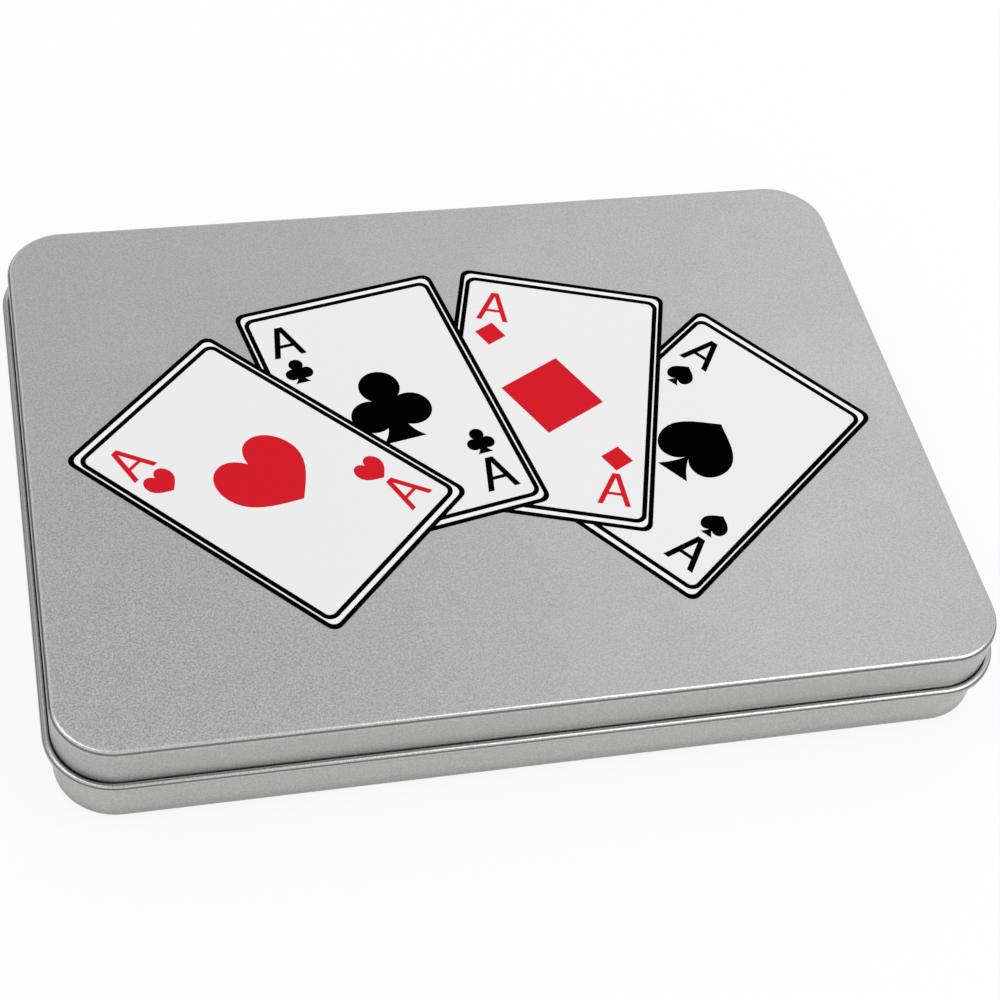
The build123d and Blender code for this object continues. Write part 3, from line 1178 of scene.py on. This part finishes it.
class CARDTIN_OT_print(bpy.types.Operator):
    """Print a fan of four aces on the lid"""

    bl_idname = "card_tin.print"
    bl_label = "Print Lid"

    def execute(self, context):
        settings = context.scene.card_tin_print
        inks = {
            "black": ink("black ink", settings.black, 0.5, 0.3, 0.002),
            "red": ink("red ink", settings.red, 0.5, 0.10),
            "face": ink("card face ink", settings.face, 0.55, 0.03),
            "border": ink("card border ink", settings.border, 0.55, 0.03),
        }
        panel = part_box("lid_shell")[1][2] - context.scene.card_tin_shells.panel_sink
        spots, corners, shown = printed_regions()
        for name, material in inks.items():
            triangles = corners[shown == name]
            if not len(triangles):
                raise RuntimeError("no area is printed in " + name)
            vertices, faces = film_mesh(spots, triangles, panel - INK_SINK, settings.film + INK_SINK)
            piece = new_piece("print_" + name, vertices, faces, (material,))
            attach(piece, "lid")
        return {"FINISHED"}


class CARDTIN_OT_studio(bpy.types.Operator):
    """Set up the white floor, soft light and camera"""

    bl_idname = "card_tin.studio"
    bl_label = "Set Up Studio"

    def execute(self, context):
        settings = context.scene.card_tin_studio
        context.scene.view_settings.view_transform = "Standard"
        white_world(settings)
        reach = FLOOR_REACH
        corners = [(-reach, -reach, 0), (reach, -reach, 0), (reach, reach, 0), (-reach, reach, 0)]
        floor = new_piece("studio_floor", corners, [(0, 1, 2, 3)], (floor_material(settings),))
        for name, place, size, power in SOFTBOXES:
            add_softbox(name, place, size, power)
        add_camera(settings)
        return {"FINISHED"}


def dress(node, material):
    """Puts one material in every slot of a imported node."""
    for slot in node.material_slots:
        slot.material = material


def white_world(settings):
    """White where the camera, a reflection or glass sees it, and even light elsewhere."""
    world = bpy.data.worlds.new("Studio")
    bpy.context.scene.world = world
    world.use_nodes = True
    tree = Wiring(world.node_tree)
    background = tree.nodes["Background"]
    background.inputs["Color"].default_value = (1, 1, 1, 1)
    rays = tree.add("LightPath").outputs
    seen = tree.math("MAXIMUM", rays["Is Camera Ray"], rays["Is Glossy Ray"])
    seen = tree.math("MAXIMUM", seen, rays["Is Transmission Ray"])
    tree.feed(background.inputs["Strength"], tree.ramp(seen, 0.0, 1.0, settings.ambient, 1.0))


def floor_material(settings):
    """White to the camera, with a share of the shadow near the tin, and duller in reflections."""
    material, tree, shader = new_material("studio floor")
    shader.inputs["Base Color"].default_value = (0.9, 0.9, 0.9, 1)
    shader.inputs["Roughness"].default_value = 0.9
    shader.inputs["Specular IOR Level"].default_value = 0.0
    glow = tree.add("Emission")
    rays = tree.add("LightPath").outputs
    away = tree.add("VectorMath", operation="LENGTH")
    tree.feed(away.inputs[0], tree.where())
    plain = tree.ramp(away.outputs["Value"], 0.22, 0.60, 1.0 - settings.shadow, 1.0)
    direct = tree.math("MULTIPLY", rays["Is Camera Ray"], plain)
    reflected = tree.math("MULTIPLY", rays["Is Glossy Ray"], settings.floor_glow)
    blend = tree.add("MixShader")
    tree.feed(blend.inputs["Fac"], tree.math("MAXIMUM", direct, reflected))
    tree.feed(blend.inputs[1], shader.outputs[0])
    tree.feed(blend.inputs[2], glow.outputs[0])
    tree.feed(tree.nodes["Material Output"].inputs["Surface"], blend.outputs[0])
    return material


def add_softbox(name, place, size, power):
    light = bpy.data.lights.new(name, "AREA")
    light.shape = "RECTANGLE"
    light.size, light.size_y = size
    light.energy = power
    lamp = bpy.data.objects.new(name, light)
    lamp.location = place
    lamp.rotation_euler = (TIN_MIDDLE - Vector(place)).to_track_quat("-Z", "Y").to_euler()
    bpy.context.collection.objects.link(lamp)


def add_camera(settings):
    """Camera aimed at a point on the lid, then rolled about its view line."""
    a, e, r = settings.azimuth, settings.elevation, settings.roll
    back = Vector((math.sin(a) * math.cos(e), -math.cos(a) * math.cos(e), math.sin(e)))
    right = Vector((math.cos(a), math.sin(a), 0))
    up = back.cross(right)
    turned_right = right * math.cos(r) + up * math.sin(r)
    turned_up = up * math.cos(r) - right * math.sin(r)
    view = Matrix((turned_right, turned_up, back)).transposed().to_4x4()
    view.translation = Vector((*LOOKED_AT, CAD_BOX[1][2])) + back * settings.distance
    data = bpy.data.cameras.new("Camera")
    data.sensor_width = 36
    data.lens = settings.lens
    data.shift_x = settings.shift
    data.clip_start = 0.01
    camera = bpy.data.objects.new("Camera", data)
    camera.matrix_world = view
    bpy.context.collection.objects.link(camera)
    bpy.context.scene.camera = camera


class CARDTIN_PT_panel(bpy.types.Panel):
    """Sizes and colours of the card tin, and the steps that build it"""

    bl_idname = "CARDTIN_PT_panel"
    bl_label = "Card Tin"
    bl_space_type = "VIEW_3D"
    bl_region_type = "UI"
    bl_category = "Card Tin"

    def draw(self, context):
        scene = context.scene
        for title, group, operator in (
            ("Tinplate", scene.card_tin_metal, None),
            ("Shells", scene.card_tin_shells, CARDTIN_OT_shells),
            ("Tray", scene.card_tin_tray, CARDTIN_OT_tray),
            ("Decks", scene.card_tin_decks, CARDTIN_OT_decks),
            ("Print", scene.card_tin_print, CARDTIN_OT_print),
            ("Studio", scene.card_tin_studio, CARDTIN_OT_studio),
        ):
            box = self.layout.box()
            box.label(text=title)
            for name in own_settings(group):
                box.prop(group, name)
            if operator:
                box.operator(operator.bl_idname)


SETTINGS = {
    "card_tin_shells": ShellSettings,
    "card_tin_metal": TinplateSettings,
    "card_tin_tray": TraySettings,
    "card_tin_print": PrintSettings,
    "card_tin_decks": DeckSettings,
    "card_tin_studio": StudioSettings,
}
CLASSES = (
    *SETTINGS.values(),
    CARDTIN_OT_shells,
    CARDTIN_OT_tray,
    CARDTIN_OT_decks,
    CARDTIN_OT_print,
    CARDTIN_OT_studio,
    CARDTIN_PT_panel,
)


def register():
    for cls in CLASSES:
        bpy.utils.register_class(cls)
    for name, group in SETTINGS.items():
        setattr(bpy.types.Scene, name, PointerProperty(type=group))


def unregister():
    for name in SETTINGS:
        delattr(bpy.types.Scene, name)
    for cls in reversed(CLASSES):
        bpy.utils.unregister_class(cls)


def main():
    register()
    bpy.ops.card_tin.shells()
    bpy.ops.card_tin.tray()
    bpy.ops.card_tin.decks()
    bpy.ops.card_tin.print()
    bpy.ops.card_tin.studio()
    bpy.context.view_layer.update()


if __name__ == "__main__":
    main()
